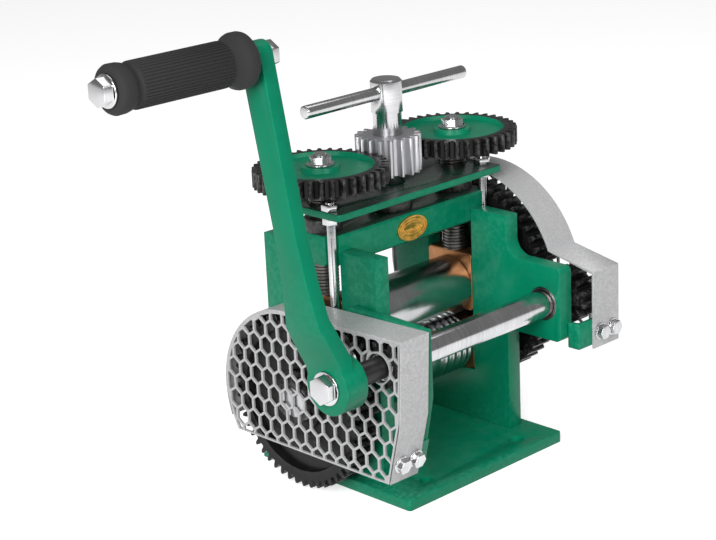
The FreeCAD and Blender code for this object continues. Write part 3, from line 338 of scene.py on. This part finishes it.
def gear_black():
    material, tree, shader = blank_material("gear_black", Specular_IOR_Level=0.2)
    colour = tuple(finish_settings().oxide)
    cloud = effect(tree, "Cloud", Scale=90.0, Grain=1500.0)
    rub = effect(tree, "EdgeRub", Amount=0.6, Scale=500.0)
    base = mix_colour(tree, ramp(tree, cloud.outputs["Tone"], 0.35, 0.7), colour, shade(colour, 1.8))
    link(tree, mix_colour(tree, rub.outputs["Mask"], base, (0.12, 0.115, 0.115)),
         shader.inputs["Base Color"])
    link(tree, mix_value(tree, cloud.outputs["Tone"], 0.24, 0.36), shader.inputs["Roughness"])
    relief(tree, shader, cloud.outputs["Height"], 0.00002, 0.2)
    return material


def black_oxide():
    material, tree, shader = blank_material("black_oxide", Specular_IOR_Level=0.4)
    cloud = effect(tree, "Cloud", Scale=150.0, Grain=2500.0)
    rub = effect(tree, "EdgeRub", Amount=0.8, Scale=600.0)
    base = mix_colour(tree, cloud.outputs["Tone"], (0.006, 0.006, 0.007), (0.03, 0.028, 0.028))
    link(tree, mix_colour(tree, rub.outputs["Mask"], base, (0.25, 0.24, 0.24)),
         shader.inputs["Base Color"])
    link(tree, mix_value(tree, cloud.outputs["Tone"], 0.22, 0.42), shader.inputs["Roughness"])
    return material


def bright_metal(name, low, high, stretch, smooth, dull):
    """Turned or ground steel with fine marks along its lathe lines."""
    material, tree, shader = blank_material(name, Metallic=1.0)
    marks = effect(tree, "ToolMarks", Stretch=stretch)
    cloud = effect(tree, "Cloud", Scale=70.0, Grain=1500.0)
    tone = combine(tree, marks.outputs["Tone"], cloud.outputs["Tone"], "ADD")
    link(tree, mix_colour(tree, ramp(tree, tone, 0.75, 1.25), low, high),
         shader.inputs["Base Color"])
    link(tree, mix_value(tree, ramp(tree, tone, 0.75, 1.25), smooth, dull),
         shader.inputs["Roughness"])
    relief(tree, shader, marks.outputs["Height"], 0.000004, 0.1)
    return material


def polished_steel():
    return bright_metal("polished_steel", (0.50, 0.50, 0.51), (0.66, 0.66, 0.67),
                        (2500.0, 20.0, 20.0), 0.14, 0.22)


def upright_steel():
    return bright_metal("upright_steel", (0.50, 0.50, 0.51), (0.66, 0.66, 0.67),
                        (20.0, 20.0, 2500.0), 0.14, 0.22)


def ground_steel():
    return bright_metal("ground_steel", (0.42, 0.42, 0.43), (0.56, 0.56, 0.57),
                        (3500.0, 15.0, 15.0), 0.18, 0.27)


def screw_steel():
    return bright_metal("screw_steel", (0.10, 0.095, 0.09), (0.26, 0.25, 0.24),
                        (60.0, 60.0, 1200.0), 0.28, 0.42)


def pinion_steel():
    return bright_metal("pinion_steel", (0.20, 0.19, 0.19), (0.46, 0.45, 0.45),
                        (60.0, 60.0, 900.0), 0.25, 0.40)


def bearing_bronze():
    material, tree, shader = blank_material("bearing_bronze", Metallic=0.9)
    colour = tuple(finish_settings().bronze)
    cloud = effect(tree, "Cloud", Scale=60.0, Grain=1800.0)
    marks = effect(tree, "ToolMarks", Stretch=(50.0, 1500.0, 50.0))
    base = mix_colour(tree, ramp(tree, cloud.outputs["Tone"], 0.35, 0.68), shade(colour, 0.6),
                      shade(colour, 1.25))
    link(tree, base, shader.inputs["Base Color"])
    link(tree, mix_value(tree, marks.outputs["Tone"], 0.26, 0.46), shader.inputs["Roughness"])
    relief(tree, shader, marks.outputs["Height"], 0.00002, 0.3)
    return material


def guard_spray():
    material, tree, shader = blank_material("guard_spray", Metallic=0.15)
    colour = tuple(finish_settings().guard)
    cloud = effect(tree, "Cloud", Scale=1400.0, Grain=2200.0)
    rub = effect(tree, "EdgeRub", Amount=0.4, Scale=700.0)
    dust = effect(tree, "Dust", Amount=0.15, Scale=300.0)
    base = mix_colour(tree, ramp(tree, cloud.outputs["Tone"], 0.36, 0.66), shade(colour, 0.92),
                      shade(colour, 1.07))
    worn = mix_colour(tree, rub.outputs["Mask"], base, (0.75, 0.75, 0.75))
    link(tree, mix_colour(tree, dust.outputs["Mask"], worn, (0.62, 0.62, 0.60)),
         shader.inputs["Base Color"])
    link(tree, mix_value(tree, cloud.outputs["Tone"], 0.34, 0.55), shader.inputs["Roughness"])
    relief(tree, shader, cloud.outputs["Height"], 0.00002, 0.3)
    return material


def grip_rubber():
    material, tree, shader = blank_material("grip_rubber", Specular_IOR_Level=0.4)
    cloud = effect(tree, "Cloud", Scale=120.0, Grain=3000.0)
    dust = effect(tree, "Dust", Amount=0.12, Scale=420.0)
    base = mix_colour(tree, cloud.outputs["Tone"], (0.004, 0.004, 0.004), (0.010, 0.010, 0.010))
    link(tree, mix_colour(tree, dust.outputs["Mask"], base, (0.06, 0.06, 0.06)),
         shader.inputs["Base Color"])
    link(tree, mix_value(tree, cloud.outputs["Tone"], 0.28, 0.40), shader.inputs["Roughness"])
    relief(tree, shader, cloud.outputs["Height"], 0.00003, 0.3)
    return material


def badge_gold():
    material, tree, shader = blank_material("badge_gold", Metallic=0.85)
    colour = tuple(finish_settings().gold)
    cloud = effect(tree, "Cloud", Scale=380.0, Grain=2500.0)
    base = mix_colour(tree, ramp(tree, cloud.outputs["Tone"], 0.35, 0.7), shade(colour, 0.55),
                      shade(colour, 1.2))
    link(tree, base, shader.inputs["Base Color"])
    link(tree, mix_value(tree, cloud.outputs["Tone"], 0.22, 0.40), shader.inputs["Roughness"])
    return material


FINISHES = {
    "green_enamel": green_enamel, "painted_reflection_enamel": painted_reflection_enamel, "gear_black": gear_black,
    "black_oxide": black_oxide,
    "polished_steel": polished_steel, "upright_steel": upright_steel, "ground_steel": ground_steel,
    "screw_steel": screw_steel, "pinion_steel": pinion_steel, "bearing_bronze": bearing_bronze,
    "guard_spray": guard_spray, "grip_rubber": grip_rubber, "badge_gold": badge_gold,
}


def finish(name):
    """A finish by name, made the first time it is asked for."""
    return bpy.data.materials.get(name) or FINISHES[name]()


# Modelling helpers
def deselect():
    if bpy.context.object and bpy.context.object.mode != "OBJECT":
        bpy.ops.object.mode_set(mode="OBJECT")
    bpy.ops.object.select_all(action="DESELECT")


def edit(obj):
    deselect()
    obj.select_set(True)
    bpy.context.view_layer.objects.active = obj
    bpy.ops.object.mode_set(mode="EDIT")


def done_editing():
    bpy.ops.object.mode_set(mode="OBJECT")


def bevel(obj, width, segments=2, angle=30.0):
    modifier = obj.modifiers.new("Bevel", "BEVEL")
    modifier.width = width
    modifier.segments = segments
    modifier.limit_method = "ANGLE"
    modifier.angle_limit = math.radians(angle)
    modifier.use_clamp_overlap = True
    modifier.miter_outer = "MITER_ARC"
    deselect()
    obj.select_set(True)
    bpy.context.view_layer.objects.active = obj
    bpy.ops.object.modifier_apply(modifier=modifier.name)


def settle(obj, material, body, smooth=35.0):
    """Puts a piece's place into its mesh, shades it, and gives it its finish and its body."""
    deselect()
    obj.select_set(True)
    bpy.context.view_layer.objects.active = obj
    bpy.ops.object.transform_apply(location=True, rotation=True, scale=True)
    bpy.ops.object.shade_smooth_by_angle(angle=math.radians(smooth))
    if material:
        obj.data.materials.clear()
        obj.data.materials.append(finish(material))
    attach(obj, body)
    return obj


def copy_node(node, name):
    """A merged copy of a CAD node, ready to be worked on."""
    deselect()
    source = NODES[node]
    source.select_set(True)
    bpy.context.view_layer.objects.active = source
    bpy.ops.object.duplicate()
    copy = bpy.context.view_layer.objects.active
    copy.name = name
    bpy.ops.object.parent_clear(type="CLEAR")
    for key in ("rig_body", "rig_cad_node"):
        del copy[key]
    edit(copy)
    bpy.ops.mesh.select_all(action="SELECT")
    bpy.ops.mesh.remove_doubles(threshold=0.000002)
    bpy.ops.mesh.dissolve_limited(angle_limit=math.radians(0.5))
    done_editing()
    return copy


def piece_name(node, ending):
    return node.replace("_", "-") + "-" + ending


def soften(node, ending, material, width, segments=2):
    """A copy of a CAD node with rounded edges, which stands for it."""
    copy = copy_node(node, piece_name(node, ending))
    bevel(copy, width, segments)
    body = NODES[node]["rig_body"]
    settle(copy, material, body)
    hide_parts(node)
    return copy


def chain(name, points):
    """A mesh of one open line of edges through the points, in millimetres."""
    deselect()
    bpy.ops.mesh.primitive_plane_add(size=0.001, location=[c * MM for c in points[0]])
    obj = bpy.context.view_layer.objects.active
    obj.name = name
    bpy.ops.object.mode_set(mode="EDIT")
    bpy.ops.mesh.select_mode(type="VERT")
    bpy.ops.mesh.select_all(action="SELECT")
    bpy.ops.mesh.merge(type="CENTER")
    for before, after in zip(points, points[1:]):
        step = [(b - a) * MM for a, b in zip(before, after)]
        bpy.ops.mesh.extrude_region_move(TRANSFORM_OT_translate={"value": step})
    return obj


def turn(name, points, centre, axis, steps):
    """A solid of revolution from a line that starts and ends on the axis or closes on itself."""
    obj = chain(name, points)
    bpy.ops.mesh.select_all(action="SELECT")
    bpy.ops.mesh.spin(steps=steps, angle=math.tau, center=[c * MM for c in centre], axis=axis)
    bpy.ops.mesh.select_all(action="SELECT")
    bpy.ops.mesh.remove_doubles(threshold=0.000005)
    bpy.ops.mesh.normals_make_consistent(inside=False)
    return obj


def pick_faces(obj, test):
    """Selects the faces for which the test of centre and normal holds, in edit mode."""
    bpy.ops.mesh.select_mode(type="FACE")
    mesh = bmesh.from_edit_mesh(obj.data)
    for face in mesh.faces:
        centre = obj.matrix_world @ face.calc_center_median()
        face.select = bool(test(centre / MM, face.normal))
    mesh.select_flush_mode()
    bmesh.update_edit_mesh(obj.data)


# Castings
class MILL_OT_castings(bpy.types.Operator):
    """Rounds the edges of the painted castings and plates"""
    bl_idname = "mill.castings"
    bl_label = "Castings"

    def execute(self, context):
        edge = detail_settings().casting_edge
        for node in ("base_plate", "side_frame_near", "side_frame_far", "near_shaft_bracket",
                     "screw_beam", "top_plate", "far_guard_lug"):
            piece = soften(node, "casting", "green_enamel", edge)
            # The tops of the beam and the top plate get the painted reflection of the gears.
            if node in ("screw_beam", "top_plate"):
                self.paint_top_reflection(piece)
        return {"FINISHED"}

    def paint_top_reflection(self, piece):
        """Paints the upward flats under the gears darker, as a painted reflection of the black gears
        above them.
        """
        piece.data.materials.append(finish("painted_reflection_enamel"))
        for face in piece.data.polygons:
            if face.normal.z > 0.95:
                face.material_index = 1


# Crank and grip
class MILL_OT_crank(bpy.types.Operator):
    """Rounds the crank arm and dresses its bolt, spindle and nut"""
    bl_idname = "mill.crank"
    bl_label = "Crank"

    def execute(self, context):
        detail = detail_settings()
        soften("crank_arm", "forged", "green_enamel", detail.casting_edge * 1.6, 3)
        soften("crank_bolt", "head", "polished_steel", detail.fitting_edge * 1.5)
        soften("grip_spindle", "turned", "polished_steel", detail.fitting_edge * 1.5)
        soften("spindle_nut", "hex", "polished_steel", detail.fitting_edge)
        return {"FINISHED"}


def grip_profile():
    """Stations along the grip from its inner end, as distance and radius, in millimetres."""
    return [(0, 3.2), (0, 9.3), (0.4, 10.4), (1.2, 11.2), (2.2, 11.5), (4.8, 11.5), (5.8, 11.2),
            (7.0, 10.3), (8.6, 9.6), (10.4, 9.1), (12.0, 8.9), (56.2, 8.9), (56.8, 8.6),
            (57.3, 7.7), (58.6, 7.6), (59.2, 8.4), (60.2, 9.4), (62.0, 9.8), (65.2, 9.9),
            (66.2, 9.4), (67.0, 8.2), (67.0, 3.2)]


class MILL_OT_grip(bpy.types.Operator):
    """Turns the rubber grip and raises its lengthwise ribs"""
    bl_idname = "mill.grip"
    bl_label = "Grip"

    def execute(self, context):
        detail = detail_settings()
        low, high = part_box("grip")
        inner = high.x / MM
        centre = ((low + high) / 2) / MM
        outline = [(inner - along, centre.y + radius, centre.z) for along, radius in grip_profile()]
        outline.append(outline[0])
        obj = turn("grip-ribbed", outline, (inner, centre.y, centre.z), (1, 0, 0),
                   detail.grip_ribs * 2)
        step = math.tau / (detail.grip_ribs * 2)

        def on_rib(place, normal):
            along = inner - place.x
            across, up = place.y - centre.y, place.z - centre.z
            slice_number = int(math.floor((math.atan2(up, across) % math.tau) / step))
            outside = 12.0 < along < 56.2 and math.hypot(across, up) > 8
            return outside and slice_number % 2 == 0

        pick_faces(obj, on_rib)
        bpy.ops.mesh.extrude_region_shrink_fatten(
            TRANSFORM_OT_shrink_fatten={"value": detail.rib_height})
        bpy.ops.mesh.select_all(action="SELECT")
        bpy.ops.mesh.normals_make_consistent(inside=False)
        done_editing()
        bevel(obj, 0.00015, 1, 40.0)
        settle(obj, "grip_rubber", "grip_body", 50.0)
        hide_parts("grip")
        return {"FINISHED"}


# Gears
class MILL_OT_drive_gears(bpy.types.Operator):
    """Breaks the edges of the roll gears, their pinions and the idler"""
    bl_idname = "mill.drive_gears"
    bl_label = "Drive gears"

    def execute(self, context):
        edge = detail_settings().gear_edge
        for node in ("upper_roll_gear", "lower_roll_gear", "near_pinion", "far_pinion", "idler_gear"):
            soften(node, "cut", "gear_black", edge, 1)
        return {"FINISHED"}


WEB_REACH = 0.0243
WEB_RISE = 0.004


class MILL_OT_top_gears(bpy.types.Operator):
    """Blackens the top gears' teeth and paints their webs"""
    bl_idname = "mill.top_gears"
    bl_label = "Top gears"

    def execute(self, context):
        edge = detail_settings().gear_edge
        for node in ("top_gear_near", "top_gear_far"):
            piece = soften(node, "cut", "gear_black", edge, 1)
            piece.data.materials.append(finish("green_enamel"))
            low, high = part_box(node)
            middle = (low + high) / 2
            reach = [math.hypot(v.co.x - middle.x, v.co.y - middle.y) for v in piece.data.vertices]
            for face in piece.data.polygons:
                inside = max(reach[i] for i in face.vertices) < WEB_REACH
                if inside and face.center.z > low.z + WEB_RISE:
                    face.material_index = 1
        soften("adjuster_pinion", "cut", "pinion_steel", edge, 1)
        return {"FINISHED"}


# Adjuster
class MILL_OT_adjuster(bpy.types.Operator):
    """Dresses the adjuster's post, cross bar and collar"""
    bl_idname = "mill.adjuster"
    bl_label = "Adjuster"

    def execute(self, context):
        edge = detail_settings().fitting_edge
        soften("adjuster_post", "turned", "upright_steel", edge * 1.5)
        soften("tee_bar", "turned", "polished_steel", edge * 2.5, 3)
        soften("post_collar", "turned", "black_oxide", edge * 1.5)
        return {"FINISHED"}


THREAD_RIDGE = ((6.0, 0.0), (6.0, 0.12), (5.2, 0.62), (5.2, 0.88), (6.0, 1.38), (6.0, 1.5))
STEM_RADIUS = 3.0
STEM_CHAMFER = 0.6


def move_across(obj, distance):
    for vertex in obj.data.vertices:
        vertex.co.x += distance


def wind(obj, x, pitch, turns):
    """Winds an outline round the upright line at x, as a thread of the given pitch."""
    twist = obj.modifiers.new("Screw", "SCREW")
    twist.axis = "Z"
    twist.angle = math.tau
    twist.screw_offset = pitch * MM
    twist.iterations = turns
    twist.steps = twist.render_steps = 28
    twist.use_merge_vertices = True
    twist.merge_threshold = 0.000002
    move_across(obj, -x * MM)
    bpy.ops.object.modifier_apply(modifier=twist.name)
    move_across(obj, x * MM)


def trim(x, height, normal):
    """Cuts the piece being edited off flat at a height and closes it."""
    bpy.ops.mesh.select_all(action="SELECT")
    bpy.ops.mesh.bisect(plane_co=(x * MM, 0, height * MM), plane_no=normal, use_fill=True,
                        clear_outer=True)


class MILL_OT_screws(bpy.types.Operator):
    """Cuts the threads of the two pressure screws"""
    bl_idname = "mill.screws"
    bl_label = "Pressure screws"

    def execute(self, context):
        for node, body in (("pressure_screw_near", "screw_near"), ("pressure_screw_far", "screw_far")):
            low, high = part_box(node)
            x, y = (low.x + high.x) / 2 / MM, 0.0
            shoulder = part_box("top_gear_near")[0].z / MM
            self.thread(node, body, x, y, low.z / MM, shoulder)
            self.stem(node, body, x, y, shoulder, high.z / MM)
        return {"FINISHED"}

    def thread(self, node, body, x, y, bottom, shoulder):
        pitch = detail_settings().thread_pitch / MM
        scale = pitch / THREAD_RIDGE[-1][1]
        points = [(x + radius, y, bottom - pitch + rise * scale) for radius, rise in THREAD_RIDGE]
        obj = chain(piece_name(node, "threaded"), points)
        done_editing()
        bpy.ops.object.transform_apply(location=True)
        wind(obj, x, pitch, int((shoulder - bottom) / pitch) + 2)
        edit(obj)
        bpy.ops.mesh.select_all(action="SELECT")
        bpy.ops.mesh.remove_doubles(threshold=0.000005)
        trim(x, bottom + 0.05, (0, 0, -1))
        trim(x, shoulder - 0.05, (0, 0, 1))
        bpy.ops.mesh.select_all(action="SELECT")
        bpy.ops.mesh.normals_make_consistent(inside=False)
        done_editing()
        settle(obj, "screw_steel", body, 25.0)
        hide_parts(node)

    def stem(self, node, body, x, y, shoulder, top):
        low, rim = shoulder - 0.1, STEM_RADIUS - STEM_CHAMFER
        outline = [(x, y, low), (x + STEM_RADIUS, y, low), (x + STEM_RADIUS, y, top - STEM_CHAMFER),
                   (x + rim, y, top), (x, y, top)]
        obj = turn(piece_name(node, "stem"), outline, (x, y, 0), (0, 0, 1), 32)
        done_editing()
        settle(obj, "polished_steel", body)


# Rolls and bearings
class MILL_OT_rolls(bpy.types.Operator):
    """Dresses the rolls, their blocks, rings, bushes and the shaft"""
    bl_idname = "mill.rolls"
    bl_label = "Rolls and bearings"

    def execute(self, context):
        edge = detail_settings().fitting_edge
        for node in ("upper_roll", "lower_roll"):
            soften(node, "ground", "ground_steel", edge)
        shaft = soften("drive_shaft", "turned", "polished_steel", edge * 1.5)
        # Faces of the shaft out past the near guard take the black finish, so the stub there is dark.
        shaft.data.materials.append(finish("black_oxide"))
        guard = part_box("near_guard_mesh")[1].x
        for face in shaft.data.polygons:
            if face.center.x < guard:
                face.material_index = 1
        for node in ("lower_block_near", "lower_block_far", "upper_block_near", "upper_block_far",
                     "upper_roll_spacers"):
            soften(node, "bronze", "bearing_bronze", edge)
        # The bronze shaft bushes take the dark screw steel instead, as painted shade for the shadowed
        # ring around the shaft ends.
        for node in ("shaft_bush_near", "shaft_bush_far"):
            soften(node, "turned", "screw_steel", edge)
        soften("idler_stud", "turned", "polished_steel", edge)
        return {"FINISHED"}


# Guards
class MILL_OT_guards(bpy.types.Operator):
    """Sprays the bent rims and the honeycomb sides of the guards"""
    bl_idname = "mill.guards"
    bl_label = "Guards"

    def execute(self, context):
        for node in ("near_guard_rim", "far_guard_rim"):
            soften(node, "bent", "guard_spray", 0.0002, 1)
        for node in ("near_guard_mesh", "far_guard_mesh"):
            NODES[node].data.materials.clear()
            NODES[node].data.materials.append(finish("guard_spray"))
        return {"FINISHED"}


# Fasteners
class MILL_OT_fasteners(bpy.types.Operator):
    """Rounds the nuts, screws and tie rods"""
    bl_idname = "mill.fasteners"
    bl_label = "Fasteners"

    def execute(self, context):
        edge = detail_settings().fitting_edge
        for node in ("tie_rod_nuts", "near_guard_screws", "far_guard_screws", "top_gear_nut_near",
                     "top_gear_nut_far"):
            soften(node, "hex", "polished_steel", edge)
        soften("tie_rods", "turned", "upright_steel", edge)
        for node in ("screw_nut_near", "screw_nut_far", "upper_roll_nut", "lower_roll_nut"):
            soften(node, "black", "black_oxide", edge)
        return {"FINISHED"}


# Badge
BADGE_RADIUS = 0.0075
BADGE_DEPTH = 0.0012
BADGE_OVAL = (1.25, 0.76, 1.0)


class MILL_OT_badge(bpy.types.Operator):
    """Places a plain gilt oval with a raised border on the beam"""
    bl_idname = "mill.badge"
    bl_label = "Badge"

    def execute(self, context):
        low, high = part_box("screw_beam")
        face = low.y
        deselect()
        bpy.ops.mesh.primitive_cylinder_add(
            vertices=64, radius=BADGE_RADIUS, depth=BADGE_DEPTH, rotation=(math.pi / 2, 0, 0),
            location=(-0.001, face - 0.0003, (low.z + high.z) / 2))
        obj = bpy.context.view_layer.objects.active
        obj.name = "oval-badge"
        obj.scale = BADGE_OVAL
        bpy.ops.object.transform_apply(location=True, rotation=True, scale=True)
        bpy.ops.object.mode_set(mode="EDIT")
        pick_faces(obj, lambda place, normal: normal.y < -0.9)
        bpy.ops.mesh.inset(thickness=0.0009)
        bpy.ops.mesh.extrude_region_move(TRANSFORM_OT_translate={"value": (0, 0.0004, 0)})
        bpy.ops.mesh.inset(thickness=0.0016)
        bpy.ops.mesh.extrude_region_move(TRANSFORM_OT_translate={"value": (0, -0.0004, 0)})
        bpy.ops.mesh.inset(thickness=0.0010)
        bpy.ops.mesh.extrude_region_move(TRANSFORM_OT_translate={"value": (0, 0.0003, 0)})
        done_editing()
        bevel(obj, 0.00012, 2, 40.0)
        settle(obj, "badge_gold", "mill_frame")
        return {"FINISHED"}


# Stage
CAMERA_PLACE = (-0.59917, -0.60352, 0.36094)
CAMERA_AIM = (-43.71, 17.86, -2.6)


def camera_matrix():
    azimuth, elevation, roll = (math.radians(a) for a in CAMERA_AIM)
    back = Vector((math.sin(azimuth) * math.cos(elevation), -math.cos(azimuth) * math.cos(elevation),
                   math.sin(elevation)))
    ahead = -back
    right = ahead.cross(Vector((0, 0, 1))).normalized()
    up = right.cross(ahead)
    turned = math.cos(roll) * right + math.sin(roll) * up
    above = -math.sin(roll) * right + math.cos(roll) * up
    matrix = Matrix((turned, above, back)).transposed().to_4x4()
    matrix.translation = Vector(CAMERA_PLACE)
    return matrix


# Lights by name, with place and size in metres and share of the key light's power
LIGHTS = (
    ("key-softbox", (-1.05, -0.50, 0.62), (0.7, 0.7), 1.0),
    ("front-softbox", (-0.15, -1.20, 0.75), (0.5, 0.5), 0.35),
    ("top-softbox", (0.25, 0.15, 1.3), (0.9, 0.6), 0.2),
)


def soft_light(name, place, size, power):
    data = bpy.data.lights.new(name, "AREA")
    data.shape = "RECTANGLE"
    data.size, data.size_y = size
    data.energy = power
    lamp = bpy.data.objects.new(name, data)
    bpy.context.scene.collection.objects.link(lamp)
    lamp.location = place
    aim = Vector((0, 0, 0.09)) - Vector(place)
    lamp.rotation_mode = "QUATERNION"
    lamp.rotation_quaternion = aim.to_track_quat("-Z", "Y")


class MILL_OT_stage(bpy.types.Operator):
    """Lays the pale floor and sets the soft light and the camera"""
    bl_idname = "mill.stage"
    bl_label = "Stage"

    def execute(self, context):
        scene = context.scene
        settings = scene.mill_stage
        deselect()
        bpy.ops.mesh.primitive_plane_add(size=12, location=(0, 0, -0.0002))
        floor = context.view_layer.objects.active
        floor.name = "studio-floor"
        material = blank_material(
            "studio_floor", Roughness=0.9, Base_Color=(0.88, 0.88, 0.88, 1),
            Emission_Color=(1, 1, 1, 1), Emission_Strength=settings.floor_glow)[0]
        floor.data.materials.append(material)
        floor.visible_diffuse = False
        world = bpy.data.worlds.new("studio_sky")
        world.use_nodes = True
        background = world.node_tree.nodes["Background"]
        background.inputs["Color"].default_value = (1, 1, 1, 1)
        background.inputs["Strength"].default_value = settings.sky
        scene.world = world
        for name, place, size, share in LIGHTS:
            soft_light(name, place, size, settings.key * share)
        data = bpy.data.cameras.new("studio-camera")
        data.lens = settings.lens
        data.sensor_width = 36.0
        data.clip_start, data.clip_end = 0.01, 50
        camera = bpy.data.objects.new("studio-camera", data)
        scene.collection.objects.link(camera)
        camera.matrix_world = camera_matrix()
        scene.camera = camera
        scene.view_settings.view_transform = "Standard"
        scene.view_settings.look = "None"
        return {"FINISHED"}


OPERATORS = (
    MILL_OT_castings, MILL_OT_crank, MILL_OT_grip, MILL_OT_drive_gears, MILL_OT_top_gears,
    MILL_OT_adjuster, MILL_OT_screws, MILL_OT_rolls, MILL_OT_guards, MILL_OT_fasteners,
    MILL_OT_badge, MILL_OT_stage,
)
SETTINGS = (MillFinishSettings, MillDetailSettings, MillStageSettings)


class MILL_PT_panel(bpy.types.Panel):
    """Lists the operators that dress the mill"""
    bl_idname = "MILL_PT_panel"
    bl_label = "Rolling mill"
    bl_space_type = "VIEW_3D"
    bl_region_type = "UI"
    bl_category = "Mill"

    def draw(self, context):
        for operator in OPERATORS:
            self.layout.operator(operator.bl_idname)
        for group in ("mill_finish", "mill_detail", "mill_stage"):
            settings = getattr(context.scene, group)
            box = self.layout.box()
            for name in settings.bl_rna.properties.keys():
                if name not in ("rna_type", "name"):
                    box.prop(settings, name)


def register():
    for kind in SETTINGS + OPERATORS + (MILL_PT_panel,):
        bpy.utils.register_class(kind)
    bpy.types.Scene.mill_finish = bpy.props.PointerProperty(type=MillFinishSettings)
    bpy.types.Scene.mill_detail = bpy.props.PointerProperty(type=MillDetailSettings)
    bpy.types.Scene.mill_stage = bpy.props.PointerProperty(type=MillStageSettings)


def unregister():
    for name in ("mill_stage", "mill_detail", "mill_finish"):
        delattr(bpy.types.Scene, name)
    for kind in reversed(SETTINGS + OPERATORS + (MILL_PT_panel,)):
        bpy.utils.unregister_class(kind)


def main():
    register()
    bpy.ops.mill.castings()
    bpy.ops.mill.crank()
    bpy.ops.mill.grip()
    bpy.ops.mill.drive_gears()
    bpy.ops.mill.top_gears()
    bpy.ops.mill.adjuster()
    bpy.ops.mill.screws()
    bpy.ops.mill.rolls()
    bpy.ops.mill.guards()
    bpy.ops.mill.fasteners()
    bpy.ops.mill.badge()
    bpy.ops.mill.stage()


if __name__ == "__main__":
    main()
